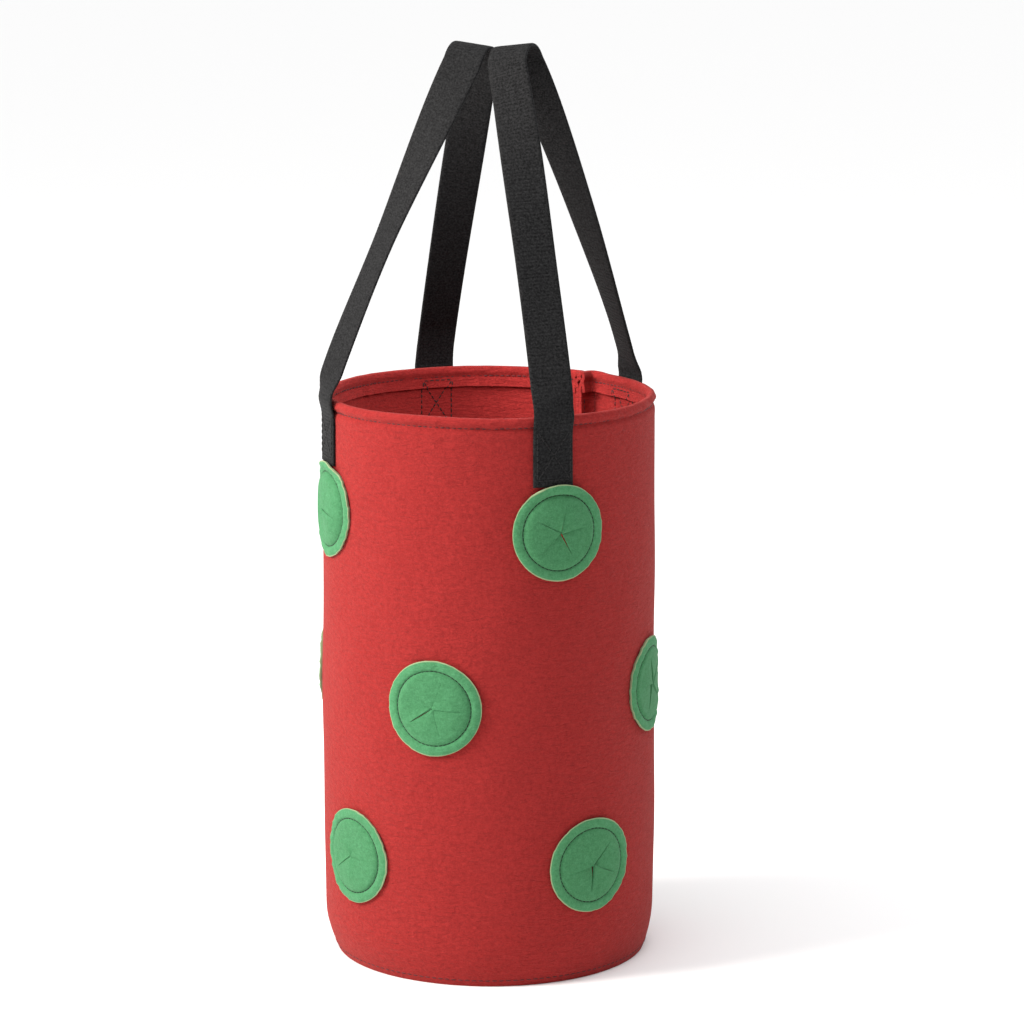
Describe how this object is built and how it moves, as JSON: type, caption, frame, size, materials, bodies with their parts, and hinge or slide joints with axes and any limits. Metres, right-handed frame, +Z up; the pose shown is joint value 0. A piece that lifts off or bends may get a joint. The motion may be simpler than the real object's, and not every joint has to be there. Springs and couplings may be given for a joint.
{
  "type": "fabric grow bag",
  "caption": "Tall round felt planting bag with slit planting ports round its side and two webbing carrying loops that fold outwards.",
  "frame": {"origin": "centre of the underside, on the surface that the bag stands on", "axes": "+Z up along the bag's axis, +X towards the right-hand carrying loop, +Y towards the back"},
  "size_m": [0.2044, 0.2044, 0.5539],
  "materials": {
    "red_felt": "needle-punched polyester felt, matte and fibrous",
    "green_felt": "thinner needle-punched felt, matte",
    "black_webbing": "ribbed woven polypropylene webbing, slight sheen",
    "black_thread": "sewing thread",
    "green_thread": "sewing thread",
    "red_thread": "sewing thread"
  },
  "bodies": {
    "root": {"bottom_edge_stitch": "red_thread", "bottom_flange": "red_felt", "bottom_panel": "red_felt", "bottom_port_1": "green_felt", "bottom_port_1_ring_stitch": "green_thread", "bottom_port_2": "green_felt", "bottom_port_2_ring_stitch": "green_thread", "bottom_port_3": "green_felt", "bottom_port_3_ring_stitch": "green_thread", "bottom_port_4": "green_felt", "bottom_port_4_ring_stitch": "green_thread", "left_back_box_stitch": "black_thread", "left_back_strap_end": "black_webbing", "left_front_box_stitch": "black_thread", "left_front_strap_end": "black_webbing", "middle_port_1": "green_felt", "middle_port_1_ring_stitch": "green_thread", "middle_port_2": "green_felt", "middle_port_2_ring_stitch": "green_thread", "middle_port_3": "green_felt", "middle_port_3_ring_stitch": "green_thread", "middle_port_4": "green_felt", "middle_port_4_ring_stitch": "green_thread", "right_back_box_stitch": "black_thread", "right_back_strap_end": "black_webbing", "right_front_box_stitch": "black_thread", "right_front_strap_end": "black_webbing", "rim_topstitch": "red_thread", "side_seam_thread": "red_thread", "side_wall": "red_felt", "top_port_1": "green_felt", "top_port_1_ring_stitch": "green_thread", "top_port_2": "green_felt", "top_port_2_ring_stitch": "green_thread", "top_port_3": "green_felt", "top_port_3_ring_stitch": "green_thread", "top_port_4": "green_felt", "top_port_4_ring_stitch": "green_thread"},
    "right_handle": {"right_webbing_loop": "black_webbing"},
    "left_handle": {"left_webbing_loop": "black_webbing"}
  },
  "joints": [
    {"name": "right_handle_fold", "type": "hinge", "parent": "root", "child": "right_handle", "pos_m": [0.06499, 0.00415, 0.36], "axis": [-0.0637, 0.998, 0], "range_deg": [0, 110]},
    {"name": "left_handle_fold", "type": "hinge", "parent": "root", "child": "left_handle", "pos_m": [-0.07222, 0.00518, 0.36], "axis": [-0.0715, -0.9974, 0], "range_deg": [0, 110]}
  ]
}
